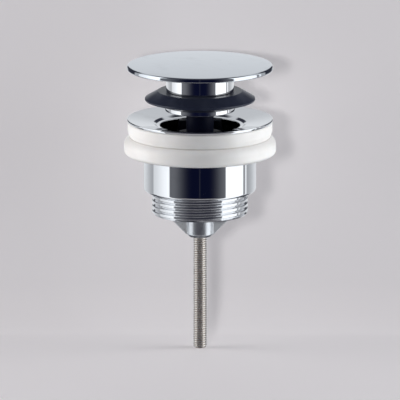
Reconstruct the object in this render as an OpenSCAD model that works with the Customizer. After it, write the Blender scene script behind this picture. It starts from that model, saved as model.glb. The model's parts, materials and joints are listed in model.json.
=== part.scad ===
// Push-open pop-up basin waste. A chrome flange body with a white seal carries a bridge, a threaded
// tie rod and a push-push cartridge, and the cartridge lifts a sprung plug with a rubber lip seal.
// Millimetres, +Z up. The origin is on the axis, in the plane where the white seal sits on the basin.
// Threads are plain cylinders at their major diameter.

/* [Flange body] */
// Diameter of the flange
flange_d = 63.7; // [60:0.1:72]
// Thickness of the flange at its rim
flange_t = 1.2; // [0.8:0.1:2.5]
// Rounding of the flange's top edge
flange_round = 0.3; // [0.2:0.1:0.5]
// Bore of the throat that the water runs through
throat_d = 35; // [33:0.1:37]
// How far the flange's top falls from its rim to the throat's mouth
dish_h = 2; // [0.5:0.1:2.5]
// Width of the chamfer round the throat's mouth
chamfer_w = 2.9; // [2:0.1:4]
// Depth of that chamfer
chamfer_h = 1; // [0.6:0.1:2.5]
// Diameter of the smooth barrel below the seat
barrel_d = 49; // [46:0.1:54]
// Length of the barrel below the seat
barrel_h = 16.4; // [14:0.1:30]
// Rounding of the barrel's lower edge
barrel_round = 0.9; // [0.3:0.1:1.5]
// Major diameter of the tail thread, G 1 1/4
thread_d = 41.91; // [41:0.01:45]
// Length of the tail thread
thread_h = 10.2; // [8:0.1:20]
// Chamfer at the end of the tail thread
thread_chamfer = 0.8; // [0.3:0.1:1.2]

/* [White seal] */
// Height of the seal, from the basin to the flange
seal_h = 14.5; // [11:0.1:20]
// Diameter of the upper band
band_d = 63.2; // [60:0.1:64]
// Height at which the band starts
band_z = 10.2; // [8.5:0.1:12]
// Diameter of the waist under the band
waist_d = 61.6; // [59:0.1:63]
// Height of the waist
waist_z = 7.7; // [7:0.1:8.4]
// Largest diameter, at the bulge
bulge_d = 66.4; // [65.8:0.1:70]
// Outer diameter of the flat foot on the basin
foot_d = 62; // [58:0.1:64]
// Rounding at the top of the bulge, up to the crease at the waist
bulge_round = 4; // [3:0.1:5]
// How far the barrel is turned down inside the seal
register = 0.3; // [0.1:0.05:0.6]

/* [Bridge and tie rod] */
// Width of the shoulder in the tail that the bridge's ring seats on
bridge_lip = 0.65; // [0.4:0.05:1.2]
// Height of the ring
ring_h = 6.2; // [5:0.1:7.5]
// Radial wall of the ring
ring_wall = 1.5; // [1:0.1:2.5]
// Thickness of the two webs
web_t = 4; // [2:0.1:6]
// Height of a web where it meets the ring
web_rim_h = 3.7; // [2.5:0.1:4.5]
// Diameter of the hub
hub_d = 12; // [11:0.1:16]
// Diameter of the hub's nose
nose_d = 9.4; // [8:0.1:10.5]
// How far the hub reaches below the tail thread
hub_drop = 10.3; // [8:0.1:16]
// Major diameter of the tie rod, M6
rod_d = 6; // [5:0.1:7]
// Pitch diameter of the rod's thread, at which its screwed end is drawn
rod_grip_d = 5.35; // [4.4:0.05:6.2]
// Free length of the rod below the hub
rod_h = 49.8; // [30:0.1:120]
// Length of rod screwed into the hub
rod_grip = 6; // [5:0.1:8]
// Chamfer at the rod's ends
rod_chamfer = 0.8; // [0.3:0.1:1.2]

/* [Plug] */
// Travel of the plug from open to closed
stroke = 8.8; // [6:0.1:9.5]
// Diameter of the cap
cap_d = 64; // [58:0.1:72]
// Height of the cap's rim
cap_rim = 2; // [1.5:0.1:3]
// Rise of the cap's crown above the rim
cap_crown = 0.5; // [0.2:0.1:1.5]
// Rounding of the cap's edges
cap_round = 0.5; // [0.2:0.1:0.7]
// Diameter of the boss under the cap
boss_d = 14; // [12:0.1:18]
// Diameter of the neck
neck_d = 29.6; // [26:0.1:34]
// Height of the neck
neck_h = 9.5; // [7:0.1:14]
// Wall and floor of the neck's cup
neck_wall = 2; // [1.5:0.1:3]
// Thickness of the split washer under the boss
washer_t = 1.2; // [0.8:0.1:1.8]
// Diameter of the lip seal at its lip
lip_d = 48.2; // [45:0.1:52]
// Diameter of the lip seal's top face
lip_top_d = 36.8; // [34:0.1:40]
// Diameter of the lip seal's bottom face
lip_low_d = 31; // [28:0.1:33]
// Height of the lip seal
lip_h = 6.7; // [5.5:0.1:9]
// Height of the middle of the lip above the bottom face
lip_mid = 3; // [2:0.1:3.5]
// Height of the lip's own edge
lip_edge = 0.8; // [0.4:0.1:1.2]
// Diameter of the stiff core in the lip seal
core_d = 17.8; // [14:0.1:20]
// Diameter of the core's middle flange
core_flange_d = 23; // [21:0.1:26]
// Thickness of the core's middle flange
core_flange_t = 1.5; // [1:0.1:2]
// Diameter of the clamp disc
clamp_d = 30.6; // [26:0.1:32]
// Thickness of the clamp disc
clamp_t = 2.1; // [1.5:0.1:3]
// Diameter of the spindle's stem
stem_d = 12; // [11.5:0.1:12.5]
// Major diameter of the stud that holds the cap, M8
stud_d = 8; // [7.5:0.1:8.5]
// Wall of metal left above the stud's blind hole
stud_cover = 1.4; // [1:0.1:2]

/* [Cartridge] */
// Bore of the cartridge barrel
cartridge_bore = 16; // [15.6:0.1:17]
// Wall of the cartridge barrel
cartridge_wall = 1.5; // [1:0.1:2]
// Height of the gland nut
gland_h = 3.5; // [3.2:0.1:5]
// Thickness of the gland nut's head
gland_head = 1; // [0.6:0.1:1.4]
// Height of the base plug inside the barrel
base_h = 3.2; // [3:0.1:5]
// Thickness of the base plug's flange
base_flange = 1; // [0.8:0.1:2]
// Thickness of the washer between the hub and the base plug
seat_washer_t = 0.8; // [0.5:0.1:1.5]
// Thickness of the section of the two O-rings
o_ring_t = 1.2; // [1:0.1:1.3]
// Outside diameter of the cam sleeve
sleeve_d = 11.2; // [10.8:0.1:11.4]
// Diameter of the sleeve's stop collar
collar_d = 13; // [12.8:0.1:13.4]
// Thickness of the sleeve's stop collar
collar_t = 1; // [0.8:0.1:1.5]
// Depth of the zigzag track
track_depth = 1.3; // [0.9:0.05:1.4]
// Width of plain sleeve above and below the track
track_land = 0.5; // [0.4:0.1:1]
// Diameter of the follower pins
pin_d = 1.8; // [1.4:0.1:2]
// Diameter of the spindle inside the sleeve
tail_d = 8; // [7.8:0.1:8.2]
// Bore in the spindle for the spring
spring_bore = 6; // [5.8:0.1:6.4]
// Depth of that bore above the sleeve's stop face
spring_pocket = 1; // [0:0.1:2]
// Height of the nut under the sleeve
ring_nut_h = 1.4; // [1.2:0.1:2.5]
// Wire of the return spring
wire_d = 0.8; // [0.6:0.05:0.9]
// Number of turns of the return spring
spring_turns = 9; // [6:1:11]

/* [Hidden] */
$fn = 96;

// Clearances and small cuts
seat_clear = 0.35;      // lip seal above the throat's mouth when the plug is closed
gap = 0.3;              // between pieces that move past each other
fit = 0.05;             // radial, in a running or a push fit
thread_fit = 0.03;      // radial, in a screwed joint
end_play = 0.1;         // along the axis, at a turning ring
lid_gap = 1;            // cartridge under the closed plug, and between two screws in one hole
cut = 1;                // how far a cutting tool runs past a face
slot_w = 1.6;           // driver slots in the gland and in the ring nut
slot_h = 0.6;           // depth of those slots
small_chamfer = 0.4;    // on plain turned edges

// Radii used in turned outlines
throat_r = throat_d / 2;
chamfer_r = throat_r + chamfer_w;
barrel_r = barrel_d / 2;
register_r = barrel_r - register;
thread_r = thread_d / 2;
flange_r = flange_d / 2;
bridge_r = throat_r + bridge_lip;
ring_in_r = bridge_r - fit - ring_wall;
hub_r = hub_d / 2;
rod_r = rod_d / 2;
rod_grip_r = rod_grip_d / 2;
stud_r = stud_d / 2;
stem_r = stem_d / 2;
tail_r = tail_d / 2;
sleeve_r = sleeve_d / 2;
cartridge_in_r = cartridge_bore / 2;
cartridge_r = cartridge_in_r + cartridge_wall;
lip_r = lip_d / 2;
lip_low_r = lip_low_d / 2;
o_ring_r = o_ring_t / 2;

// The chamfer at the tail's end takes at most half of the wall that the bridge's seat leaves
tail_chamfer = min(thread_chamfer, (thread_r - bridge_r) / 2);

// Levels of the body
flange_under_z = seal_h;
flange_top_z = flange_under_z + flange_t;
mouth_z = flange_top_z - dish_h;
dish_slope = dish_h / (flange_r - flange_round - chamfer_r);
barrel_z = -barrel_h;
tail_z = barrel_z - thread_h;
shoulder_z = tail_z + ring_h + small_chamfer;
hub_z = tail_z - hub_drop;
rod_top_z = hub_z + rod_grip;
rod_z = hub_z - rod_h;

// Level of the flange's sloping underside at a radius, which the top of the white seal follows
function under_z(r) = flange_under_z - dish_slope * (flange_r - r);

// Levels of the open plug: the closed lip seal sits on the throat's mouth, and the plug stands
// one stroke above that
lip_slope = (lip_mid - lip_edge / 2) / (lip_r - lip_low_r);
lip_rise = (chamfer_r - lip_low_r) * lip_slope;
lip_z = mouth_z + seat_clear - lip_rise + stroke;
clamp_z = lip_z - clamp_t;
neck_z = lip_z + lip_h;
cap_z = neck_z + neck_h;
boss_z = neck_z + neck_wall + washer_t;
cap_rim_z = cap_z + cap_rim;
cap_top_z = cap_rim_z + cap_crown;
stud_top_z = cap_rim_z - stud_cover - lid_gap;

// Levels of the cartridge, from the gland under the closed plug down to the bridge's hub
gland_top_z = clamp_z - stroke - lid_gap;
gland_z = gland_top_z - gland_h;
sleeve_top_z = gland_z - gap;
legs = 4;                                   // legs of the zigzag in one turn: down, up, down, up
leg_angle = 360 / legs;
track_r = sleeve_r - track_depth;
track_lean = atan(stroke / (track_r * leg_angle * PI / 180));
track_half = (pin_d / 2 + gap) / cos(track_lean);
pin_z = sleeve_top_z - collar_t - track_land - track_half - stroke;
latch_half = track_half + track_land - gap;
pin_end_r = cartridge_in_r - small_chamfer;  // depth of the pins' holes in the latch ring
sleeve_z = pin_z - track_half - track_land;
spindle_z = sleeve_z - ring_nut_h;
base_top_z = spindle_z - stroke - gap;
cartridge_z = base_top_z - base_h;
base_z = cartridge_z - base_flange;
hub_top_z = base_z - seat_washer_t;
spring_seat = 1;                            // depth of the spring's seat in the base plug
spring_z = base_top_z - spring_seat;
spring_top_z = sleeve_top_z + spring_pocket;
spring_r = spring_bore / 2 - gap - wire_d / 2;

chrome = [0.82, 0.83, 0.85];
zinc = [0.68, 0.69, 0.70];
steel = [0.62, 0.60, 0.57];
brass = [0.78, 0.64, 0.34];
acetal = [0.90, 0.90, 0.86];
black_acetal = [0.08, 0.08, 0.09];
black_rubber = [0.06, 0.06, 0.07];

// Points of an arc about a centre
function arc(centre, r, from, to, steps = 6) =
    [for (i = [0 : steps])
        let (a = from + (to - from) * i / steps)
        centre + r * [cos(a), sin(a)]];

// A solid of revolution from points given as radius and height
module turned(outline) {
    rotate_extrude() polygon(outline);
}

// A plain tube between two levels
module tube(outer_r, inner_r, z_low, z_high) {
    turned([[inner_r, z_low], [outer_r, z_low], [outer_r, z_high], [inner_r, z_high]]);
}

// A round bar between two levels, chamfered at its lower and upper end
module bar(r, z_low, z_high, low_chamfer, high_chamfer) {
    turned([[0, z_low], [r - low_chamfer, z_low], [r, z_low + low_chamfer],
        [r, z_high - high_chamfer], [r - high_chamfer, z_high], [0, z_high]]);
}

// A hole along the axis that runs past its lower level
module hole_from_below(r, z_low, z_high) {
    translate([0, 0, z_low - cut]) cylinder(r = r, h = z_high - z_low + cut);
}

// A driver slot across a turned face, with its floor at z_low
module driver_slot(length, z_low) {
    translate([-length / 2, -slot_w / 2, z_low]) cube([length, slot_w, slot_h + cut]);
}

// Dished flange, throat, barrel and tail thread, turned from one bar
module flange_body() {
    color(chrome) turned(concat(
        [[bridge_r, tail_z], [thread_r - tail_chamfer, tail_z],
            [thread_r, tail_z + tail_chamfer], [thread_r, barrel_z]],
        arc([barrel_r - barrel_round, barrel_z + barrel_round], barrel_round, -90, 0),
        [[barrel_r, 0], [register_r, 0], [register_r, under_z(register_r)], [flange_r, flange_under_z]],
        arc([flange_r - flange_round, flange_top_z - flange_round], flange_round, 0, 90),
        [[chamfer_r, mouth_z], [throat_r, mouth_z - chamfer_h],
            [throat_r, shoulder_z], [bridge_r, shoulder_z]]));
}

// White seal: a flat foot clear of the barrel, a rounded bulge, a crease and a band up to the flange
module flange_seal() {
    band_r = band_d / 2;
    bulge_r = bulge_d / 2;
    foot_r = foot_d / 2;
    inner_r = register_r + fit;
    waist_r = min(waist_d / 2, bulge_r - gap);
    depth = bulge_r - waist_r;
    swell_r = max(bulge_round, depth);
    swell_turn = acos(1 - depth / swell_r);
    bulge_z = waist_z - swell_r * sin(swell_turn);
    foot_round = max(small_chamfer, min(bulge_r - foot_r, bulge_z));
    color("ivory") turned(concat(
        [[inner_r, register + gap], [barrel_r + gap, 0]],
        arc([bulge_r - foot_round, foot_round], foot_round, -90, 0),
        arc([bulge_r - swell_r, bulge_z], swell_r, 0, swell_turn, 8),
        [[band_r, band_z], [band_r, under_z(band_r)], [inner_r, under_z(inner_r)]]));
}

// Ring, two webs and hub. The ring seats on the shoulder in the tail, the hub takes both screws
module bridge() {
    ring_top_z = shoulder_z;
    ring_z = ring_top_z - ring_h;
    web_top_z = ring_top_z - small_chamfer;
    web_hub_z = min(hub_top_z - lid_gap, web_top_z);
    web_low_z = hub_z + (hub_d - nose_d) / 2;
    web_rim_z = web_top_z - web_rim_h;
    inner_r = (stud_r + hub_r) / 2;
    outer_r = ring_in_r + ring_wall / 2;
    color(zinc) difference() {
        union() {
            tube(bridge_r - fit, ring_in_r, ring_z, ring_top_z);
            bar(hub_r, hub_z, hub_top_z, (hub_d - nose_d) / 2, small_chamfer);
            for (side = [0, 180])
                rotate([90, 0, side])
                    linear_extrude(web_t, center = true)
                        polygon([[inner_r, web_low_z], [hub_r, web_low_z], [outer_r, web_rim_z],
                            [outer_r, web_top_z], [hub_r, web_hub_z], [inner_r, web_hub_z]]);
        }
        hole_from_below(rod_grip_r, hub_z, rod_top_z + lid_gap / 2);
        translate([0, 0, rod_top_z + lid_gap / 2])
            cylinder(r = stud_r, h = hub_top_z - rod_top_z - lid_gap / 2 + cut);
    }
}

// Threaded rod. Its screwed end in the hub is drawn at the thread's pitch diameter
module tie_rod() {
    color(steel) union() {
        bar(rod_r, rod_z, hub_z, rod_chamfer, 0);
        bar(rod_grip_r - thread_fit, hub_z, rod_top_z, 0, small_chamfer);
    }
}

module seat_washer() {
    color("firebrick") tube(hub_r - small_chamfer, stud_r + fit, hub_top_z, base_z);
}

// Base of the cartridge: a stud into the hub, a flange under the barrel and the spring's seat
module base_plug() {
    groove_z = cartridge_z + base_h / 2;
    stud_z = rod_top_z + lid_gap;
    color(brass) difference() {
        union() {
            bar(stud_r - thread_fit, stud_z, base_z, small_chamfer, 0);
            bar(cartridge_r, base_z, cartridge_z, small_chamfer, 0);
            bar(cartridge_in_r - fit, cartridge_z, base_top_z, 0, small_chamfer);
        }
        tube(cartridge_in_r + cut, cartridge_in_r - fit - o_ring_t, groove_z - o_ring_r - fit,
            groove_z + o_ring_r + fit);
        translate([0, 0, spring_z]) cylinder(r = spring_r + wire_d / 2 + fit, h = spring_seat + cut);
    }
}

module base_o_ring() {
    color(black_rubber) translate([0, 0, cartridge_z + base_h / 2])
        rotate_extrude() translate([cartridge_in_r - fit - o_ring_r, 0]) circle(d = o_ring_t);
}

module cartridge_barrel() {
    color(black_acetal) tube(cartridge_r, cartridge_in_r, cartridge_z, gland_top_z - gland_head);
}

// The two spacers leave the latch ring free to turn between them
module lower_spacer() {
    color(acetal)
        tube(cartridge_in_r - fit, sleeve_r + gap, base_top_z, pin_z - latch_half - end_play);
}

module upper_spacer() {
    color(acetal)
        tube(cartridge_in_r - fit, collar_d / 2 + gap, pin_z + latch_half + end_play, gland_z);
}

// Gland nut: screwed into the barrel, it guides the spindle and stops the sleeve's collar
module gland_nut() {
    groove_z = gland_z + (gland_h - gland_head) / 2;
    groove_r = stem_r + fit + o_ring_t + fit;
    color(black_acetal) difference() {
        union() {
            tube(cartridge_in_r - fit, stem_r + fit, gland_z, gland_top_z - gland_head);
            tube(cartridge_r, stem_r + fit, gland_top_z - gland_head, gland_top_z);
        }
        tube(groove_r, stem_r - cut, groove_z - o_ring_r - fit, groove_z + o_ring_r + fit);
        driver_slot(2 * cartridge_r + cut, gland_top_z - slot_h);
    }
}

module gland_o_ring() {
    color(black_rubber) translate([0, 0, gland_z + (gland_h - gland_head) / 2])
        rotate_extrude() translate([stem_r + fit + o_ring_r, 0]) circle(d = o_ring_t);
}

// Helical compression spring, a round wire swept along its turns
module return_spring() {
    sides = 6;
    steps = 14;
    rings = spring_turns * steps;
    low = spring_z + wire_d / 2 + fit;
    rise = spring_top_z - wire_d / 2 - fit - low;
    points = [for (i = [0 : rings]) for (k = [0 : sides - 1])
        let (a = 360 * i / steps, b = 360 * k / sides, r = spring_r + wire_d / 2 * cos(b))
        [r * cos(a), r * sin(a), low + rise * i / rings + wire_d / 2 * sin(b)]];
    skin = [for (i = [0 : rings - 1]) for (k = [0 : sides - 1])
        let (a = i * sides + k, b = i * sides + (k + 1) % sides)
        each [[a, b, b + sides], [a, b + sides, a + sides]]];
    first_end = [for (k = [sides - 1 : -1 : 0]) k];
    last_end = [for (k = [0 : sides - 1]) rings * sides + k];
    color(steel) polyhedron(points, concat(skin, [first_end, last_end]));
}

// Ring that turns as its pins climb the track
module latch_ring() {
    color(acetal) difference() {
        tube(cartridge_in_r - fit, sleeve_r + gap, pin_z - latch_half, pin_z + latch_half);
        for (side = [0, 180])
            rotate([0, 90, side])
                translate([-pin_z, 0, 0]) cylinder(d = pin_d + 2 * thread_fit, h = pin_end_r);
    }
}

// Two pins in the ring's blind holes, with their tips in the track
module follower_pins() {
    pin_tip_r = track_r + gap;
    color(steel) for (side = [0, 180])
        rotate([0, 90, side])
            translate([-pin_z, 0, pin_tip_r])
                cylinder(d = pin_d, h = pin_end_r - thread_fit - pin_tip_r);
}

// Crowned cap with a threaded boss
module cap_plate() {
    cap_r = cap_d / 2;
    crown_r = cap_r - cap_round;
    crown_ball = (crown_r * crown_r + cap_crown * cap_crown) / (2 * cap_crown);
    crown_angle = asin(crown_r / crown_ball);
    color(chrome) difference() {
        turned(concat(
            [[0, boss_z], [boss_d / 2 - small_chamfer, boss_z], [boss_d / 2, boss_z + small_chamfer],
                [boss_d / 2, cap_z]],
            arc([cap_r - cap_round, cap_z + cap_round], cap_round, -90, 0),
            arc([cap_r - cap_round, cap_rim_z - cap_round], cap_round, 0, 90),
            arc([0, cap_top_z - crown_ball], crown_ball, 90 - crown_angle, 90)));
        hole_from_below(stud_r, boss_z, cap_rim_z - stud_cover);
    }
}

module neck_collar() {
    neck_r = neck_d / 2;
    color(chrome) turned([[stud_r + fit, neck_z], [neck_r - small_chamfer, neck_z],
        [neck_r, neck_z + small_chamfer], [neck_r, cap_z], [neck_r - neck_wall, cap_z],
        [neck_r - neck_wall, neck_z + neck_wall], [stud_r + fit, neck_z + neck_wall]]);
}

module spring_washer() {
    color(steel) difference() {
        tube(boss_d / 2, stud_r + fit, neck_z + neck_wall, boss_z);
        translate([stud_r - cut, 0, neck_z + neck_wall - cut])
            rotate([-30, 0, 0]) cube([boss_d, slot_w / 2, 2 * washer_t + 4 * cut]);
    }
}

// Rubber seal: two cones that meet at the lip, moulded round the stiff core
module lip_seal() {
    core_low_z = lip_z + (lip_h - core_flange_t) / 2;
    color(black_rubber) turned([[core_d / 2 + fit, lip_z], [lip_low_r, lip_z],
        [lip_r, lip_z + lip_mid - lip_edge / 2], [lip_r, lip_z + lip_mid + lip_edge / 2],
        [lip_top_d / 2, neck_z], [core_d / 2 + fit, neck_z],
        [core_d / 2 + fit, core_low_z + core_flange_t + fit],
        [core_flange_d / 2 + fit, core_low_z + core_flange_t + fit],
        [core_flange_d / 2 + fit, core_low_z - fit], [core_d / 2 + fit, core_low_z - fit]]);
}

module seal_core() {
    core_low_z = lip_z + (lip_h - core_flange_t) / 2;
    color(acetal) union() {
        tube(core_d / 2, stud_r + fit, lip_z, neck_z);
        tube(core_flange_d / 2, stud_r + fit, core_low_z, core_low_z + core_flange_t);
    }
}

module clamp_disc() {
    clamp_r = clamp_d / 2;
    color(chrome) turned([[stud_r + fit, clamp_z], [clamp_r - small_chamfer, clamp_z],
        [clamp_r, clamp_z + small_chamfer], [clamp_r, lip_z], [stud_r + fit, lip_z]]);
}

// Stem with the cap's stud above, the sleeve's seat below and a blind bore for the spring
module spindle() {
    color(black_acetal) difference() {
        union() {
            bar(tail_r - thread_fit, spindle_z, sleeve_top_z, small_chamfer, 0);
            bar(stem_r, sleeve_top_z, clamp_z, 0, 0);
            bar(stud_r - thread_fit, clamp_z, stud_top_z, 0, small_chamfer);
        }
        hole_from_below(spring_bore / 2, spindle_z, spring_top_z);
    }
}

// Height of the track's middle at an angle round the sleeve: a zigzag with one leg to each stroke
function track_z(angle) =
    let (turn = (angle % (2 * leg_angle)) / leg_angle)
    pin_z + stroke * (turn < 1 ? turn : 2 - turn);

// Endless zigzag groove, as the solid that is cut from the sleeve
module track_cutter() {
    steps = legs * 8;
    outer_r = sleeve_r + cut;
    section = [[track_r, -track_half], [outer_r, -track_half],
        [outer_r, track_half], [track_r, track_half]];
    corners = len(section);
    points = [for (i = [0 : steps - 1]) for (p = section)
        let (a = 360 * i / steps)
        [p.x * cos(a), p.x * sin(a), track_z(a) + p.y]];
    faces = [for (i = [0 : steps - 1]) for (k = [0 : corners - 1])
        let (j = (i + 1) % steps, n = (k + 1) % corners)
        each [[i * corners + k, i * corners + n, j * corners + n],
            [i * corners + k, j * corners + n, j * corners + k]]];
    polyhedron(points, faces);
}

// Cam sleeve: the track that turns the latch ring, under a collar that stops at the gland
module cam_sleeve() {
    color(acetal) union() {
        difference() {
            tube(sleeve_r, tail_r, sleeve_z, sleeve_top_z - collar_t);
            track_cutter();
        }
        tube(collar_d / 2, tail_r, sleeve_top_z - collar_t, sleeve_top_z);
    }
}

// Slotted nut under the sleeve
module ring_nut() {
    nut_r = sleeve_r - small_chamfer / 2;
    color(brass) difference() {
        tube(nut_r, tail_r, spindle_z, sleeve_z);
        for (side = [0, 180])
            rotate(side) translate([tail_r + fit, -slot_w / 2, spindle_z - cut])
                cube([nut_r, slot_w, slot_h + cut]);
    }
}

flange_body();
flange_seal();
bridge();
tie_rod();
seat_washer();
base_plug();
base_o_ring();
cartridge_barrel();
lower_spacer();
upper_spacer();
gland_nut();
gland_o_ring();
return_spring();
latch_ring();
follower_pins();
cap_plate();
neck_collar();
spring_washer();
lip_seal();
seal_core();
clamp_disc();
spindle();
cam_sleeve();
ring_nut();
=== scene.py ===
"""Push-open pop-up basin waste: its finished surfaces, threads and studio light, around the CAD frame."""
import json
import math

import bmesh
import bpy
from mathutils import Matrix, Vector


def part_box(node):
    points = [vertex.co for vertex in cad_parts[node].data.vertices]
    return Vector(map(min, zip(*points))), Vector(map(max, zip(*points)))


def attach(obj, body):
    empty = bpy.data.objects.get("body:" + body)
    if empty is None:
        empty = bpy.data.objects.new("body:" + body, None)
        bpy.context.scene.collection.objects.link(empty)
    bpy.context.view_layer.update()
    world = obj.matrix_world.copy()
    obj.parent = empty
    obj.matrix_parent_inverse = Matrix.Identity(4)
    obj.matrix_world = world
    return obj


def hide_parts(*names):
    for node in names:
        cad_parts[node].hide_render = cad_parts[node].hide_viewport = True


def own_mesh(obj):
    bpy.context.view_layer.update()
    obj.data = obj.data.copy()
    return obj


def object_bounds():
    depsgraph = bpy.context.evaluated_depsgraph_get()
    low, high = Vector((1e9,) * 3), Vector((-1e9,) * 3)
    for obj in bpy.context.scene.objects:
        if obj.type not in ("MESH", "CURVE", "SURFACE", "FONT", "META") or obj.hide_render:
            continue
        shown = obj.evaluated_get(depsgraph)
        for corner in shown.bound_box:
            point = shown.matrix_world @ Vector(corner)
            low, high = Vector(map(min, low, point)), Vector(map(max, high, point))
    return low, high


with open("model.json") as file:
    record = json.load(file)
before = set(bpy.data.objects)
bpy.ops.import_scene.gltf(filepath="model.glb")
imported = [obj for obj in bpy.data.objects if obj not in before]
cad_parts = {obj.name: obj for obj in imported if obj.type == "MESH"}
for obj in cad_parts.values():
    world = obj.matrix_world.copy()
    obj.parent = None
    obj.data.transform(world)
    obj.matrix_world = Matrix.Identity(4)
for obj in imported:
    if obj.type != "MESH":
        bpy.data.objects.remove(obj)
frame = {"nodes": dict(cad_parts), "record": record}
cad_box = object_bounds()
MM = 0.001

# Flange body. One piece of brass, turned and then chrome plated: the dished flange that shows in the
# basin, the throat, the smooth barrel and the G 1 1/4 tail thread. All the rest is carried by it.
flange_low, flange_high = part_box("flange_body")
flange_r = flange_high.x / MM
flange_top = flange_high.z / MM
flange_t = 1.2
flange_round = 0.3
flange_rim_draft = 0.12
flange_rim_h = 0.45
flange_rim_back = 0.2
dish_h = 2.0
mouth_r = 20.4
mouth_z = flange_top - dish_h
mouth_chamfer_h = 1.0
mouth_ledge_r = 19.0
mouth_ledge_drop = 0.8
mouth_round = 0.3
throat_r = 17.5
barrel_r = 24.5
barrel_end = -16.4
barrel_round = 1.3
register_r = 24.2
tail_r = 20.955
tail_end = flange_low.z / MM
tail_pitch = 2.309
tail_depth = 1.0
tail_crest = 0.17
tail_root_r = tail_r - tail_depth
tail_front_crest = -17.9
tail_chamfer = 0.8
tail_thread_steps = 144
tail_bore_r = 18.15
tail_shoulder = -20.0
dish_slope = dish_h / (flange_r - flange_round - mouth_r)
fit_round = 0.05
fine_round = 0.1
edge_round = 0.2
wide_steps = 256
arc_share = 0.48
axis_r = 1e-6
root_sink = 0.12
sharp_angle = math.radians(50)


def under_flange(r):
    """Height of the flange's sloping underside at a radius."""
    return flange_top - flange_t - dish_slope * (flange_r - r)


def rounded(corners, arc_steps=6):
    """Corners of an outline, as (radius, height, rounding), with an arc in place of each rounded corner."""
    points = []
    for i, (r, z, rounding) in enumerate(corners):
        corner = Vector((r, z))
        if rounding == 0:
            points.append(corner)
            continue
        back = Vector(corners[i - 1][:2]) - corner
        ahead = Vector(corners[(i + 1) % len(corners)][:2]) - corner
        half = back.angle(ahead) / 2
        reach = min(rounding / math.tan(half), arc_share * back.length, arc_share * ahead.length)
        start = corner + back.normalized() * reach
        stop = corner + ahead.normalized() * reach
        centre = corner + (back.normalized() + ahead.normalized()).normalized() * reach / math.cos(half)
        radius = (start - centre).length
        first = math.atan2(start.y - centre.y, start.x - centre.x)
        last = math.atan2(stop.y - centre.y, stop.x - centre.x)
        sweep = (last - first + math.pi) % (2 * math.pi) - math.pi
        for step in range(arc_steps + 1):
            a = first + sweep * step / arc_steps
            points.append(centre + radius * Vector((math.cos(a), math.sin(a))))
    return points


def round_point(r, angle, z):
    """A point in metres at a radius, an angle and a height in millimetres."""
    return r * math.cos(angle) * MM, r * math.sin(angle) * MM, z * MM


def turn_into(mesh, outline, steps):
    """Adds a closed outline, turned round the axis, to a bmesh."""
    rings = []
    for r, z in outline:
        count = 1 if r < axis_r else steps
        rings.append([mesh.verts.new(round_point(r, 2 * math.pi * k / steps, z)) for k in range(count)])
    rings.append(rings[0])
    for low, high in zip(rings, rings[1:]):
        for k in range(steps):
            n = (k + 1) % steps
            corners = [low[k % len(low)], low[n % len(low)], high[n % len(high)], high[k % len(high)]]
            corners = list(dict.fromkeys(corners))
            if len(corners) > 2:
                mesh.faces.new(corners)


def sweep_into(mesh, rings):
    """Adds a closed tube through rings of points to a bmesh."""
    made = [[mesh.verts.new(point) for point in ring] for ring in rings]
    sides = len(made[0])
    for low, high in zip(made, made[1:]):
        for k in range(sides):
            n = (k + 1) % sides
            mesh.faces.new((low[k], low[n], high[n], high[k]))
    mesh.faces.new(made[0][::-1])
    mesh.faces.new(made[-1])


def thread_into(mesh, crest_r, depth, pitch, crest, low, high, front_crest, chamfer, steps):
    """Adds a right-hand thread's ridge, cut off flat and chamfered at both ends, to a bmesh.

    Half the ridge is given in shares of the pitch along the axis and of the depth outwards."""
    flank = [(0.5, -root_sink), (0.46, 0.0), (crest + 0.13, 0.8), (crest + 0.07, 0.96), (crest, 1.0)]
    ridge = [(-along, up) for along, up in flank] + flank[::-1]
    root_r = crest_r - depth
    rings = []
    for i in range(int(steps * ((high - low) / pitch + 1)) + 1):
        middle = low - pitch / 2 + pitch * i / steps
        angle = 2 * math.pi * (middle - front_crest) / pitch - math.pi / 2
        ring = []
        for along, up in ridge:
            z = min(max(middle + along * pitch, low), high)
            cone_r = crest_r - chamfer + min(z - low, high - z)
            r = max(min(root_r + up * depth, cone_r), root_r - root_sink * depth)
            ring.append(round_point(r, angle, z))
        rings.append(ring)
    sweep_into(mesh, rings)


def finished(name, mesh, flat_faces=True):
    """Makes a smooth object of a bmesh, and keeps flat faces flat beside their rounded edges if asked."""
    bmesh.ops.recalc_face_normals(mesh, faces=mesh.faces)
    data = bpy.data.meshes.new(name)
    mesh.to_mesh(data)
    mesh.free()
    data.shade_smooth()
    data.set_sharp_from_angle(angle=sharp_angle)
    piece = bpy.data.objects.new(name, data)
    bpy.context.scene.collection.objects.link(piece)
    if flat_faces:
        piece.modifiers.new("flat_faces", "WEIGHTED_NORMAL").keep_sharp = True
    return piece


flange_mesh = bmesh.new()
turn_into(flange_mesh, rounded([
    (tail_bore_r, tail_end, fine_round),
    (tail_root_r, tail_end, fine_round),
    (tail_root_r, barrel_end, edge_round),
    (barrel_r, barrel_end, barrel_round),
    (barrel_r, 0, fit_round),
    (register_r, 0, fit_round),
    (register_r, under_flange(register_r), fine_round),
    (flange_r - flange_rim_back, flange_top - flange_t, edge_round),
    (flange_r, flange_top - flange_rim_h, edge_round),
    (flange_r - flange_rim_draft, flange_top, flange_round),
    (mouth_r, mouth_z, fine_round),
    (mouth_ledge_r, mouth_z - mouth_ledge_drop, mouth_round),
    (throat_r, mouth_z - mouth_chamfer_h, mouth_round),
    (throat_r, tail_shoulder, fit_round),
    (tail_bore_r, tail_shoulder, fit_round),
]), wide_steps)
thread_into(flange_mesh, tail_r, tail_depth, tail_pitch, tail_crest, tail_end, barrel_end, tail_front_crest,
            tail_chamfer, tail_thread_steps)
flange = finished("flange", flange_mesh)


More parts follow.
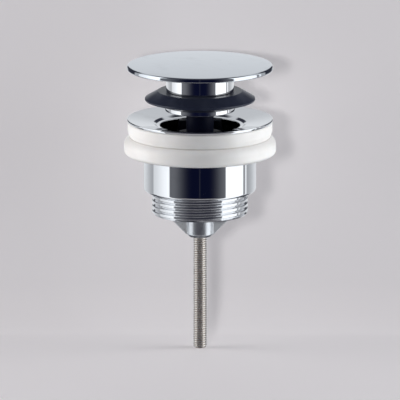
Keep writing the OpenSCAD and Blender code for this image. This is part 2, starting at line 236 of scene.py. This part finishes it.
class Wire:
    """An output of a node in one tree. Arithmetic on wires adds Math nodes to that tree."""

    def __init__(self, tree, socket=None):
        self.tree = tree
        self.socket = socket

    def node(self, kind, inputs=None, out=0, stops=None, **settings):
        made = self.tree.nodes.new("ShaderNode" + kind)
        for name, value in settings.items():
            setattr(made, name, value)
        if stops:
            ramp = made.color_ramp.elements
            while len(ramp) < len(stops):
                ramp.new(0.5)
            for element, (place, colour) in zip(ramp, stops):
                element.position = place
                element.color = (*colour, 1)
        for name, value in (inputs or {}).items():
            if isinstance(value, Wire):
                self.tree.links.new(value.socket, made.inputs[name])
            else:
                made.inputs[name].default_value = value
        return Wire(self.tree, made.outputs[out] if made.outputs else None)

    def other(self, out):
        return Wire(self.tree, self.socket.node.outputs[out])

    def maths(self, operation, a, b=0.0):
        return self.node("Math", {0: a, 1: b}, operation=operation)

    def __add__(self, other):
        return self.maths("ADD", self, other)

    __radd__ = __add__

    def __sub__(self, other):
        return self.maths("SUBTRACT", self, other)

    def __rsub__(self, other):
        return self.maths("SUBTRACT", other, self)

    def __mul__(self, other):
        return self.maths("MULTIPLY", self, other)

    def rise(self, low, high):
        """0 below low, 1 above high, smooth between."""
        return self.node("MapRange", {"Value": self, "From Min": low, "From Max": high},
                         interpolation_type="SMOOTHSTEP")

    def mix(self, colour_a, colour_b):
        """Colour a where this wire is 0, colour b where it is 1."""
        colours = {"Factor": self, 6: (*colour_a, 1), 7: (*colour_b, 1)}
        return self.node("Mix", colours, out=2, data_type="RGBA")

    def level(self):
        """Height of this wire's points."""
        return self.node("SeparateXYZ", {"Vector": self}).other("Z")

    def reach(self):
        """Distance of this wire's points from the axis."""
        axis = self.node("SeparateXYZ", {"Vector": self})
        return self.maths("SQRT", axis * axis + axis.other("Y") * axis.other("Y"))

    def noise(self, scale, detail=3.0):
        """Noise over this wire's points, scale in turns to the metre."""
        return self.node("TexNoise", {"Vector": self, "Scale": scale, "Detail": detail})

    def grain(self, scales, detail=2.0):
        """Noise drawn out in one direction, its scales in turns to the metre along X, Y and Z."""
        return self.node("Mapping", {"Vector": self, "Scale": scales}).noise(1.0, detail)

    def bump(self, strength, distance):
        """Normals of a surface that this wire raises by up to a distance in metres."""
        return self.node("Bump", {"Strength": strength, "Distance": distance, "Height": self})


def material(name):
    """A new material with a Principled shader, and a wire with the points of its surface."""
    made = bpy.data.materials.new(name)
    made.use_nodes = True
    shader = made.node_tree.nodes["Principled BSDF"]
    return made, shader, Wire(made.node_tree).node("TexCoord", out="Object")


def feed(shader, **inputs):
    """Links wires to a shader's sockets and sets plain numbers and colours on the others."""
    for name, value in inputs.items():
        port = shader.inputs[name.replace("_", " ")]
        if isinstance(value, Wire):
            value.tree.links.new(value.socket, port)
        else:
            port.default_value = value


def dress(piece, body, slot, finish, *nodes):
    """Gives a piece its finish and its body, and hides the CAD nodes that it stands for. The slot is not
    used.
    """
    piece.data.materials.clear()
    piece.data.materials.append(finish)
    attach(piece, body)
    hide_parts(*nodes)


def chrome_finish(name, tint, roughness):
    """Polished plate: faint rings, thin smears where water has dried, and a duller tail thread."""
    made, shader, place = material(name)
    smear = place.noise(scale=90.0, detail=4.0).rise(0.52, 0.75)
    smeared_tint = [c * 0.94 for c in tint]
    ring = place.grain((40, 40, 2600))
    unpolished = 1 - place.level().rise((barrel_end - 0.4) * MM, (barrel_end - 0.1) * MM)
    waviness = place.noise(scale=160.0, detail=1.0)
    feed(shader, Metallic=1 - unpolished * 0.06, Base_Color=smear.mix(tint, smeared_tint),
         Roughness=roughness + smear * 0.04 + ring * 0.03 + unpolished * 0.02,
         Normal=waviness.bump(strength=0.02, distance=0.0002))
    return made


chrome = chrome_finish("chrome_plate", tint=(0.80, 0.81, 0.83), roughness=0.03)
dress(flange, "body", "chrome", chrome, "flange_body")

# White seal. A soft moulded silicone ring between the basin and the flange: a flat foot, a round bulge, a
# crease at the waist with painted shade in its colour, and a band that follows the flange's underside. It
# lets in a little light.
seal_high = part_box("flange_seal")[1]
bulge_r = seal_high.x / MM
band_r = 31.6
band_z = 10.2
band_round = 1.2
band_top_round = 0.8
waist_r = 30.8
waist_z = 7.7
crease_depth = 0.5
crease_z = waist_z + 0.1
crease_lip_r = waist_r + 0.1
crease_lip_z = waist_z + 0.5
crease_painted_shade_amount = 0.36
swell_r = 4.0
swell_turn = math.acos(1 - (bulge_r - waist_r) / swell_r)
bulge_z = waist_z - swell_r * math.sin(swell_turn)
bulge_mid_r = bulge_r - swell_r
foot_round = 2.2
foot_lift = 0.6
foot_in_r = barrel_r + 0.3
seal_in_r = register_r + 0.05
swell_steps = 12
round_steps = 192
fine_arc_steps = 8
silicone_white = (0.88, 0.87, 0.855)
silicone_warm_and_painted_shade = (0.40, 0.36, 0.33)
swell_angles = [swell_turn * i / swell_steps for i in range(swell_steps + 1)]
bulge_arc = [(bulge_mid_r + swell_r * math.cos(a), bulge_z + swell_r * math.sin(a), 0) for a in swell_angles]
seal_mesh = bmesh.new()
turn_into(seal_mesh, rounded([
    (seal_in_r, foot_lift, fine_round),
    (foot_in_r, 0, fine_round),
    (bulge_r, 0, foot_round),
    *bulge_arc,
    (waist_r - crease_depth, crease_z, fine_round),
    (crease_lip_r, crease_lip_z, edge_round),
    (band_r, band_z, band_round),
    (band_r, under_flange(band_r), band_top_round),
    (seal_in_r, under_flange(seal_in_r), fine_round),
], fine_arc_steps), round_steps)
white_seal = finished("white_seal", seal_mesh)
silicone, shader, place = material("white_silicone")
cloud = place.noise(scale=70.0, detail=5.0)
level = place.level()
# Painted shade: the base colour is darkened in a thin band at the waist to show the shade in the crease. The
# warm tint is random.
above_bulge = level.rise((waist_z - 0.1) * MM, waist_z * MM)
in_band = level.rise((waist_z + 0.4) * MM, (waist_z + 0.6) * MM)
crease_painted_shade = above_bulge * (1 - in_band)
warm = cloud.rise(0.4, 0.7) * 0.12 * (1 - crease_painted_shade)
pores = place.noise(scale=2200.0, detail=2.0)
feed(shader, Base_Color=(warm + crease_painted_shade * crease_painted_shade_amount).mix(silicone_white, silicone_warm_and_painted_shade),
     Roughness=0.26 + cloud * 0.14, IOR=1.45, Subsurface_Weight=0.15, Subsurface_Scale=0.001,
     Subsurface_Radius=(1.0, 0.85, 0.7), Normal=pores.bump(strength=0.12, distance=0.00005))
dress(white_seal, "body", "white_seal", silicone, "flange_seal")

# Bridge. A plated zinc casting: a ring in the tail, two sloping webs and a round hub that takes the
# cartridge's stud from above and the tie rod from below. Cast edges are soft, and the webs are duller.
bridge_low, bridge_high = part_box("bridge")
hub_low = bridge_low.z / MM
hub_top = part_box("seat_washer")[0].z / MM
hub_r = 6.0
hub_nose = 1.3
hub_bevel = 0.4
hub_bore = 2.8
hub_steps = 96
bridge_ring_r = bridge_high.x / MM
bridge_ring_in = 16.6
bridge_ring_low = -26.2
bridge_ring_steps = 160
web_t = 4.0
web_in = 4.6
web_out = 17.4
web_top = -20.4
web_rim_low = -24.1
web_hub_top = hub_top - 1.0
web_hub_low = hub_low + hub_nose
web_foot = hub_r + 0.2
cast_voxel = 0.22
cast_softening = 0.5
cast_softenings = 4
zinc_plate = (0.74, 0.76, 0.79)
zinc_speck = (0.60, 0.61, 0.63)


def prism_into(mesh, outline, thickness):
    """Adds an outline in X and Z, thickened along Y, to a bmesh."""
    rings = [[(x * MM, y * MM, z * MM) for x, z in outline] for y in (-thickness / 2, thickness / 2)]
    sweep_into(mesh, rings)


casting = bmesh.new()
turn_into(casting, [
    (hub_bore, hub_low), (hub_r - hub_nose, hub_low), (hub_r, web_hub_low), (hub_r, hub_top - hub_bevel),
    (hub_r - hub_bevel, hub_top), (hub_bore, hub_top),
], hub_steps)
turn_into(casting, [
    (bridge_ring_in, bridge_ring_low), (bridge_ring_r, bridge_ring_low),
    (bridge_ring_r, tail_shoulder), (bridge_ring_in, tail_shoulder),
], bridge_ring_steps)
web = [
    (web_in, web_hub_low), (web_foot, web_hub_low), (web_out, web_rim_low),
    (web_out, web_top), (hub_r, web_hub_top), (web_in, web_hub_top),
]
for side in (1, -1):
    prism_into(casting, [(side * x, z) for x, z in web], web_t)
bridge = finished("bridge_casting", casting, flat_faces=False)
remesh = bridge.modifiers.new("one_casting", "REMESH")
remesh.mode = "VOXEL"
remesh.voxel_size = cast_voxel * MM
remesh.use_smooth_shade = True
soften = bridge.modifiers.new("soft_edges", "SMOOTH")
soften.factor = cast_softening
soften.iterations = cast_softenings
zinc, shader, place = material("plated_zinc")
speck = place.noise(scale=700.0).rise(0.58, 0.72)
bloom = place.noise(scale=150.0, detail=4.0)
as_cast = place.reach().rise((hub_r + 0.05) * MM, (hub_r + 0.3) * MM)
feed(shader, Metallic=1 - as_cast * 0.7, Base_Color=speck.mix(zinc_plate, zinc_speck),
     Roughness=0.3 + bloom * 0.12 + as_cast * 0.1, Normal=bloom.bump(strength=0.12, distance=0.0002))
dress(bridge, "body", "zinc", zinc, "bridge")

# Tie rod. Stainless M6 rod with a rolled thread along its whole length, screwed up into the hub.
# The thread's roots are darkened with painted shade, brownish and made patchy by noise.
rod_low, rod_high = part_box("tie_rod")
rod_end = rod_low.z / MM
rod_top = rod_high.z / MM
rod_r = rod_high.x / MM
rod_pitch = 1.0
rod_depth = 0.613
rod_crest = 0.08
rod_root_r = rod_r - rod_depth
rod_chamfer = 0.8
rod_end_round = 0.3
rod_steps = 48
rod_thread_steps = 32
rod_bright = (0.88, 0.84, 0.80)
rod_root_shade_colour = (0.46, 0.40, 0.35)
rod_mesh = bmesh.new()
turn_into(rod_mesh, rounded([
    (0, rod_end, 0),
    (rod_root_r, rod_end, rod_end_round),
    (rod_root_r, rod_top, rod_end_round),
    (0, rod_top, 0),
]), rod_steps)
thread_into(rod_mesh, rod_r, rod_depth, rod_pitch, rod_crest, rod_end, rod_top, rod_end, rod_chamfer,
            rod_thread_steps)
tie_rod = finished("threaded_rod", rod_mesh)
stainless, shader, place = material("rolled_stainless")
# Painted shade in the thread's roots: the colour goes darker toward the root radius, with its strength
# varied by noise.
root_painted_shade = 1 - place.reach().rise(rod_root_r * MM, (rod_r - 0.15) * MM)
stain = place.noise(scale=300.0, detail=4.0)
feed(shader, Metallic=0.92, Base_Color=(root_painted_shade * (0.5 + stain * 0.4)).mix(rod_bright, rod_root_shade_colour),
     Roughness=0.2 + stain * 0.12 + root_painted_shade * 0.15)
dress(tie_rod, "body", "stainless", stainless, "tie_rod")

# Cartridge. It stands in the throat on a fibre washer, its brass base screwed into the hub. Barrel and
# gland nut are turned from black acetal, the two spacers and the latch ring are white, O-rings seal it.
rubber_black = (0.017, 0.021, 0.040)
rubber_bloom = (0.027, 0.032, 0.052)
fibre_dark = (0.30, 0.06, 0.045)
fibre_pale = (0.46, 0.13, 0.09)


def acetal_finish(name, colour, marked, roughness, shine):
    """Turned or moulded acetal: a dull sheen, fine tool rings and a few paler rubbed spots."""
    made, shader, place = material(name)
    ring = place.grain((60, 60, 3200))
    rubbed = place.noise(scale=260.0, detail=4.0).rise(0.55, 0.75)
    feed(shader, Base_Color=rubbed.mix(colour, marked), Roughness=roughness + ring * 0.12 - rubbed * 0.05,
         IOR=1.48, Specular_IOR_Level=shine, Normal=ring.bump(strength=0.06, distance=0.00004))
    return made


def metal_finish(name, colour, dulled, roughness):
    """Bare turned or drawn metal: fine tool rings, and dull patches where it has tarnished."""
    made, shader, place = material(name)
    ring = place.grain((50, 50, 3000))
    dull = place.noise(scale=240.0, detail=4.0).rise(0.45, 0.75)
    feed(shader, Metallic=1.0, Base_Color=dull.mix(colour, dulled),
         Roughness=roughness + dull * 0.15 + ring * 0.08, Normal=ring.bump(strength=0.05, distance=0.00004))
    return made


def rubber_finish(name, roughness):
    """Moulded black rubber with a faint bloom and fine pores."""
    made, shader, place = material(name)
    bloom = place.noise(scale=120.0, detail=5.0)
    pores = place.noise(scale=1800.0)
    feed(shader, Base_Color=bloom.rise(0.4, 0.75).mix(rubber_black, rubber_bloom),
         Roughness=roughness + bloom * 0.14, IOR=1.52, Normal=pores.bump(strength=0.15, distance=0.00005))
    return made


def coat(finish, *nodes):
    """Gives CAD nodes a finish."""
    for name in nodes:
        made = frame["nodes"][name].data.materials
        made.clear()
        made.append(finish)


black_acetal = acetal_finish("black_acetal", colour=(0.003, 0.004, 0.013), marked=(0.006, 0.007, 0.016),
                             roughness=0.42, shine=0.2)
white_acetal = acetal_finish("white_acetal", colour=(0.78, 0.78, 0.74), marked=(0.83, 0.83, 0.80),
                             roughness=0.36, shine=0.5)
brass = metal_finish("turned_brass", colour=(0.80, 0.62, 0.30), dulled=(0.55, 0.42, 0.22), roughness=0.22)
drawn_steel = metal_finish("drawn_steel", colour=(0.66, 0.65, 0.63), dulled=(0.46, 0.44, 0.42),
                           roughness=0.24)
rubber = rubber_finish("black_rubber", roughness=0.26)
fibre, shader, place = material("red_fibre")
strand = place.grain((900, 2600, 900), detail=4.0)
feed(shader, Base_Color=strand.rise(0.3, 0.7).mix(fibre_dark, fibre_pale),
     Roughness=0.72 + strand * 0.2, Normal=strand.bump(strength=0.3, distance=0.00008))
coat(fibre, "seat_washer")
coat(brass, "base_plug", "ring_nut")
coat(black_acetal, "cartridge_barrel", "gland_nut")
coat(white_acetal, "lower_spacer", "upper_spacer", "latch_ring", "cam_sleeve", "seal_core")
coat(rubber, "base_o_ring", "gland_o_ring")
coat(drawn_steel, "follower_pins", "spring_washer")

# Return spring. Drawn stainless wire with its end coils closed. It stands in the cartridge's base and pushes
# up inside the spindle.
# The real spring shortens as the plug goes down; here it is built at its full length.
spring_low, spring_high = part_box("return_spring")
spring_head = spring_high.z / MM
wire_r = 0.4
coil_r = 2.3
coils = 9
closed_coils = 0.8
coil_steps = 36
wire_sides = 10
closed_rise = 2 * wire_r * closed_coils
slide = frame["record"]["behaviour"]["joints"][0]
spring_stroke = slide["range_m"][1] / MM
spring_foot = slide["deforming_nodes"][0]["fixed_end_z_m"] / MM


def coil_height(turn):
    """Height of the wire's middle after some turns; the first and last coils lie close."""
    first = spring_low.z / MM + wire_r
    last = spring_head - wire_r
    open_share = (turn - closed_coils) / (coils - 2 * closed_coils)
    if turn < closed_coils:
        return first + 2 * wire_r * turn
    if open_share > 1:
        return last - 2 * wire_r * (coils - turn)
    return first + closed_rise + open_share * (last - first - 2 * closed_rise)


spring_rings = []
around = [2 * math.pi * k / wire_sides for k in range(wire_sides)]
for i in range(coils * coil_steps + 1):
    middle = coil_height(i / coil_steps)
    spring_rings.append([round_point(coil_r + wire_r * math.cos(b), 2 * math.pi * i / coil_steps,
                                     middle + wire_r * math.sin(b)) for b in around])
spring_mesh = bmesh.new()
sweep_into(spring_mesh, spring_rings)
spring = finished("lift_spring", spring_mesh, flat_faces=False)
dress(spring, "body", "stainless", drawn_steel, "return_spring")
spring_length = spring_head - spring_foot
spring_foot * MM
(spring_length - spring_stroke) / spring_length
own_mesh(spring)

# Cap. Chrome plated brass disc with a faint crown, a rim that leans in a little and small round edges.
# Its threaded boss takes the spindle's stud.
cap_low, cap_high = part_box("cap_plate")
cap_r = cap_high.x / MM
cap_top = cap_high.z / MM
neck_low, neck_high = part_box("neck_collar")
cap_under = neck_high.z / MM
boss_low = cap_low.z / MM
boss_r = 7.0
stud_r = 4.0
stud_hole_top = cap_top - 1.9
cap_crown = 0.5
cap_rim_draft = 0.3
cap_edge_round = 0.9
boss_root_round = 0.3
soft_round = 0.4
crown_ball = (cap_r ** 2 + cap_crown ** 2) / (2 * cap_crown)
crown_steps = 16
crown_radii = [cap_r * (1 - i / crown_steps) for i in range(1, crown_steps)]
crown = [(r, cap_top - crown_ball + math.sqrt(crown_ball ** 2 - r ** 2), 0) for r in crown_radii]
cap_mesh = bmesh.new()
turn_into(cap_mesh, rounded([
    (0.0, stud_hole_top, 0),
    (stud_r, stud_hole_top, fine_round),
    (stud_r, boss_low, edge_round),
    (boss_r, boss_low, soft_round),
    (boss_r, cap_under, boss_root_round),
    (cap_r, cap_under, soft_round),
    (cap_r - cap_rim_draft, cap_top - cap_crown, cap_edge_round),
    *crown,
    (0.0, cap_top, 0),
]), wide_steps)
cap = finished("cap", cap_mesh)
cap_chrome = chrome_finish("cap_chrome", tint=(0.76, 0.79, 0.83), roughness=0.03)
dress(cap, "plug", "chrome", cap_chrome, "cap_plate")

# Neck. A chrome cup between the cap and the rubber seal, clamped by the cap's thread. The spindle's stud
# goes up through the hole in its floor.
neck_r = neck_high.x / MM
neck_under = neck_low.z / MM
neck_wall = 2.0
neck_in_r = neck_r - neck_wall
neck_floor = neck_under + neck_wall
stud_clear_r = stud_r + 0.05
neck_mesh = bmesh.new()
turn_into(neck_mesh, rounded([
    (stud_clear_r, neck_under, fine_round),
    (neck_r, neck_under, soft_round),
    (neck_r, cap_under, fine_round),
    (neck_in_r, cap_under, fine_round),
    (neck_in_r, neck_floor, soft_round),
    (stud_clear_r, neck_floor, fine_round),
]), round_steps)
neck = finished("neck", neck_mesh)
plug_chrome = chrome_finish("plug_chrome", tint=(0.95, 0.95, 0.96), roughness=0.02)
dress(neck, "plug", "chrome", plug_chrome, "neck_collar")

# Lip seal. Black rubber, moulded as two cones that meet in a thin lip round a stiff core; the lower cone
# shuts the throat's mouth.
lip_low, lip_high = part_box("lip_seal")
lip_r = lip_high.x / MM
lip_under = lip_low.z / MM
lip_top = lip_high.z / MM
lip_in_r = 11.6
lip_under_r = 15.5
lip_top_r = 18.4
lip_edge_low = lip_under + 2.6
lip_edge_high = lip_under + 3.4
lip_edge_round = 0.35
lip_top_round = 0.6
lip_mesh = bmesh.new()
turn_into(lip_mesh, rounded([
    (lip_in_r, lip_under, fine_round),
    (lip_under_r, lip_under, soft_round),
    (lip_r, lip_edge_low, lip_edge_round),
    (lip_r, lip_edge_high, lip_edge_round),
    (lip_top_r, lip_top, lip_top_round),
    (lip_in_r, lip_top, fine_round),
], fine_arc_steps), round_steps)
lip_seal = finished("rubber_lip", lip_mesh)
dress(lip_seal, "plug", "black_rubber", rubber, "lip_seal")

# Clamp disc. A chrome disc that holds the rubber from below. It sits on the spindle's shoulder, and the
# stud goes up through it.
clamp_low, clamp_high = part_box("clamp_disc")
clamp_r = clamp_high.x / MM
clamp_under = clamp_low.z / MM
clamp_top = clamp_high.z / MM
clamp_round = 0.5
clamp_mesh = bmesh.new()
turn_into(clamp_mesh, rounded([
    (stud_clear_r, clamp_under, fine_round),
    (clamp_r, clamp_under, clamp_round),
    (clamp_r, clamp_top, edge_round),
    (stud_clear_r, clamp_top, fine_round),
]), round_steps)
clamp_disc = finished("clamp_ring", clamp_mesh)
dress(clamp_disc, "plug", "chrome", plug_chrome, "clamp_disc")

# Spindle. Black acetal stem: it slides in the gland, carries the cam sleeve below and the cap above,
# and is bored from below for the spring.
spindle_low, spindle_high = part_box("spindle")
stem_r = spindle_high.x / MM
sleeve_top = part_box("cam_sleeve")[1].z / MM
spindle_foot = spindle_low.z / MM
spindle_head = spindle_high.z / MM
spring_bore = 3.0
bore_top = sleeve_top + 1.0
spindle_tail = 3.97
spindle_foot_round = 0.3
spindle_steps = 96
spindle_mesh = bmesh.new()
turn_into(spindle_mesh, rounded([
    (0.0, bore_top, 0),
    (spring_bore, bore_top, fine_round),
    (spring_bore, spindle_foot, fine_round),
    (spindle_tail, spindle_foot, spindle_foot_round),
    (spindle_tail, sleeve_top, fit_round),
    (stem_r, sleeve_top, edge_round),
    (stem_r, clamp_under, fine_round),
    (spindle_tail, clamp_under, fit_round),
    (spindle_tail, spindle_head, soft_round),
    (0.0, spindle_head, 0),
]), spindle_steps)
spindle = finished("stem", spindle_mesh)
dress(spindle, "plug", "black_acetal", black_acetal, "spindle")

# Studio. Two tall softboxes at the sides, a pale wall behind and a dark room on the camera's side are
# what the chrome shows. Three soft lamps add to the light on the seal and cast the shadow on the wall.
# Bearings are in degrees from the camera's side, positive to the right, and heights are sines.
ground_colour = (0.617, 0.597, 0.617)
lamp_colour = (0.95, 0.98, 1.0)
dark_colour = (0.0034, 0.0046, 0.018)
left_span = (-112, -66)
right_span = (55, 101)
strip_span = (107, 112)
streak_span = (-1.5, 0.5)
right_light = 1.35
strip_light = 0.6
streak_light = 0.02
glow_light = 0.155
wall_light = 0.44
wall_gain = 0.34
wall_loss = 0.16
flag_depth = 0.95
ceiling_light = 0.05
scene = bpy.context.scene
world = bpy.data.worlds.new("studio")
scene.world = world
world.use_nodes = True
world.node_tree.nodes.clear()
wire = Wire(world.node_tree)
heading = wire.node("TexCoord", out="Generated")
axis = heading.node("SeparateXYZ", {"Vector": heading})
bearing = wire.maths("ARCTAN2", axis, axis.other("Y") * -1.0)
away = wire.maths("ABSOLUTE", bearing)
height = axis.other("Z")


def degrees_rise(angle, low, high):
    """0 below one bearing in degrees, 1 above another, smooth between."""
    return angle.rise(math.radians(low), math.radians(high))


def box_light(low, high, edge=2.0):
    """1 between two bearings in degrees, with edges that many degrees soft on both sides."""
    after_low = degrees_rise(bearing, low - edge, low + edge)
    return after_low * (1 - degrees_rise(bearing, high - edge, high + edge))


over = height.rise(0.68, 0.8)
under = 1 - height.rise(-0.97, -0.9)
sides = (1 - over) * (1 - under)
left_box = box_light(*left_span)
right_box = box_light(*right_span)
right_strip = box_light(*strip_span, edge=1.5)
left_glow = degrees_rise(bearing * -1.0, 10, 60)
right_glow = degrees_rise(bearing, 12, 56)
glow = (left_glow * left_glow + right_glow * right_glow) * glow_light * (1 - degrees_rise(away, 60, 75))
flag = degrees_rise(away, 122, 127) * (1 - degrees_rise(away, 164, 169))
flag = flag * height.rise(-0.16, -0.12) * (1 - height.rise(0.55, 0.62))
back = wall_light + degrees_rise(away, 112, 155) * (wall_gain - height.rise(0.1, 0.35) * wall_loss)
back = back * degrees_rise(away, 99, 108) * (1 - left_box) * (1 - flag * flag_depth)
back = back * height.rise(-0.55, -0.4)
streak = box_light(*streak_span, edge=1.0) * streak_light
left_fall = 0.82 + degrees_rise(bearing, *left_span) * 0.4
left_lift = 1 + height.rise(-0.14, 0.05) * 0.3
boxes = left_box * left_fall * left_lift + right_box * right_light + right_strip * strip_light
strength = (boxes + glow + back + streak) * sides + over * ceiling_light + under * ceiling_light
lamps = wire.node("Background", {"Color": (*lamp_colour, 1), "Strength": strength})
dark = wire.node("Background", {"Color": (*dark_colour, 1), "Strength": 1.0})
room = wire.node("AddShader", {0: lamps, 1: dark})
ground = wire.node("Background", {"Color": (*ground_colour, 1), "Strength": 1.0})
seen = wire.node("LightPath", out="Is Camera Ray")
wire.node("OutputWorld", {"Surface": wire.node("MixShader", {0: seen, 1: room, 2: ground})})

camera_height = math.radians(11.9)
frame_width = 0.1750
camera_lens = 1200.0
camera_clip = 50.0
sensor = 36.0
aim = Vector((0, 0, -0.0208))


def towards(bearing_degrees, height_radians):
    """Direction from the object at a bearing from the camera's side and a height above the horizon."""
    turn = math.radians(bearing_degrees)
    flat = math.cos(height_radians)
    return Vector((math.sin(turn) * flat, -math.cos(turn) * flat, math.sin(height_radians)))


camera = bpy.data.objects.new("camera", bpy.data.cameras.new("camera"))
camera.data.lens = camera_lens
camera.data.sensor_width = sensor
camera.data.clip_end = camera_clip
camera.location = aim + frame_width * camera_lens / sensor * towards(0, camera_height)
camera.rotation_euler = (aim - camera.location).to_track_quat("-Z", "Y").to_euler()
scene.collection.objects.link(camera)
scene.camera = camera
scene.view_settings.view_transform = "Standard"


def lamp(name, bearing_degrees, height_radians, distance, size, power, colour=(1.0, 1.0, 1.0)):
    """A round soft lamp that lights the pieces but does not show in the chrome."""
    made = bpy.data.objects.new(name, bpy.data.lights.new(name, "AREA"))
    made.data.shape = "DISK"
    made.data.size = size
    made.data.energy = power
    made.data.color = colour
    made.location = aim + distance * towards(bearing_degrees, height_radians)
    made.rotation_euler = (aim - made.location).to_track_quat("-Z", "Y").to_euler()
    made.visible_glossy = False
    scene.collection.objects.link(made)


lamp("front_lamp", bearing_degrees=-8.0, height_radians=camera_height, distance=1.2, size=0.13, power=3.6)
lamp("left_lamp", bearing_degrees=-92.0, height_radians=math.radians(5), distance=0.8, size=0.5, power=4.2,
     colour=(1.0, 0.95, 0.92))
lamp("right_lamp", bearing_degrees=92.0, height_radians=math.radians(7), distance=0.8, size=0.5, power=4.1)

# Ground. A pale floor under the rod's end and a pale wall behind, whose foot bends forward into the floor.
# Only the camera sees them, from their front sides, and they fade out away from the object. Part of their
# tone is their own light. A card far below in front shows in the chrome's lower edges, and nowhere else.
floor_reach = 0.4
floor_fade = (0.15, 0.36)
floor_own = 0.31
floor_z = cad_box[0][2] - 0.0001
wall_reach = 0.25
wall_fade = (0.13, 0.24)
wall_own = [(0, 0.31), (0.1, 0.27), (0.3, 0.27), (0.7, 0.31), (1, 0.335)]
wall_y = 0.045
wall_top = 0.2
bend_r = 0.022
bend_mid_y = wall_y - bend_r
bend_mid_z = floor_z + bend_r
bend_steps = 32
card_reach = 0.8
card_near = -0.34
card_far = -1.3
card_fade = (2.0, 3.0)
card_own = 0.22
card_z = floor_z - 0.45
paper_colour = (0.73, 0.70, 0.71)
card_colour = (0.29, 0.28, 0.285)


def ground_sheet(name, half_width, profile, colour, own_lights, fade):
    """A sheet drawn out along X from points in Y and Z, with its own light given up the height of the bend.

    It fades out between two distances from the axis."""
    paper, shader, place = material(name)
    stops = [(share, [c * own for c in ground_colour]) for share, own in own_lights]
    own_light = place.node("ValToRGB", {"Fac": (place.level() - floor_z) * (1 / bend_r)}, stops=stops)
    feed(shader, Base_Color=(*colour, 1), Roughness=0.9, Emission_Color=own_light, Emission_Strength=1.0)
    front_side = Wire(place.tree, shader.outputs[0])
    back_side = place.node("NewGeometry", out="Backfacing")
    unseen = place.maths("MAXIMUM", back_side, place.reach().rise(*fade))
    surface = place.node("MixShader", {0: unseen, 1: front_side, 2: place.node("BsdfTransparent")})
    place.tree.links.new(surface.socket, place.tree.nodes["Material Output"].inputs["Surface"])
    mesh = bmesh.new()
    rows = [[mesh.verts.new((x, y, z)) for x in (-half_width, half_width)] for y, z in profile]
    for low, high in zip(rows, rows[1:]):
        mesh.faces.new((low[0], low[1], high[1], high[0]))
    data = bpy.data.meshes.new(name)
    mesh.to_mesh(data)
    mesh.free()
    data.shade_smooth()
    data.materials.append(paper)
    sheet = bpy.data.objects.new(name, data)
    scene.collection.objects.link(sheet)
    sheet.visible_diffuse = False
    sheet.visible_shadow = False
    return sheet


bend_angles = [math.pi / 2 * i / bend_steps for i in range(bend_steps + 1)]
bend = [(bend_mid_y + bend_r * math.sin(a), bend_mid_z - bend_r * math.cos(a)) for a in bend_angles]
floor = ground_sheet("floor", floor_reach, [(-floor_reach, floor_z), (floor_reach, floor_z)], paper_colour,
                     [(0, floor_own), (1, floor_own)], floor_fade)
wall = ground_sheet("wall", wall_reach, [*bend, (wall_y, wall_top)], paper_colour, wall_own, wall_fade)
card = ground_sheet("card", card_reach, [(card_far, card_z), (card_near, card_z)], card_colour,
                    [(0, card_own), (1, card_own)], card_fade)
floor.visible_glossy = False
wall.visible_glossy = False
card.visible_camera = False
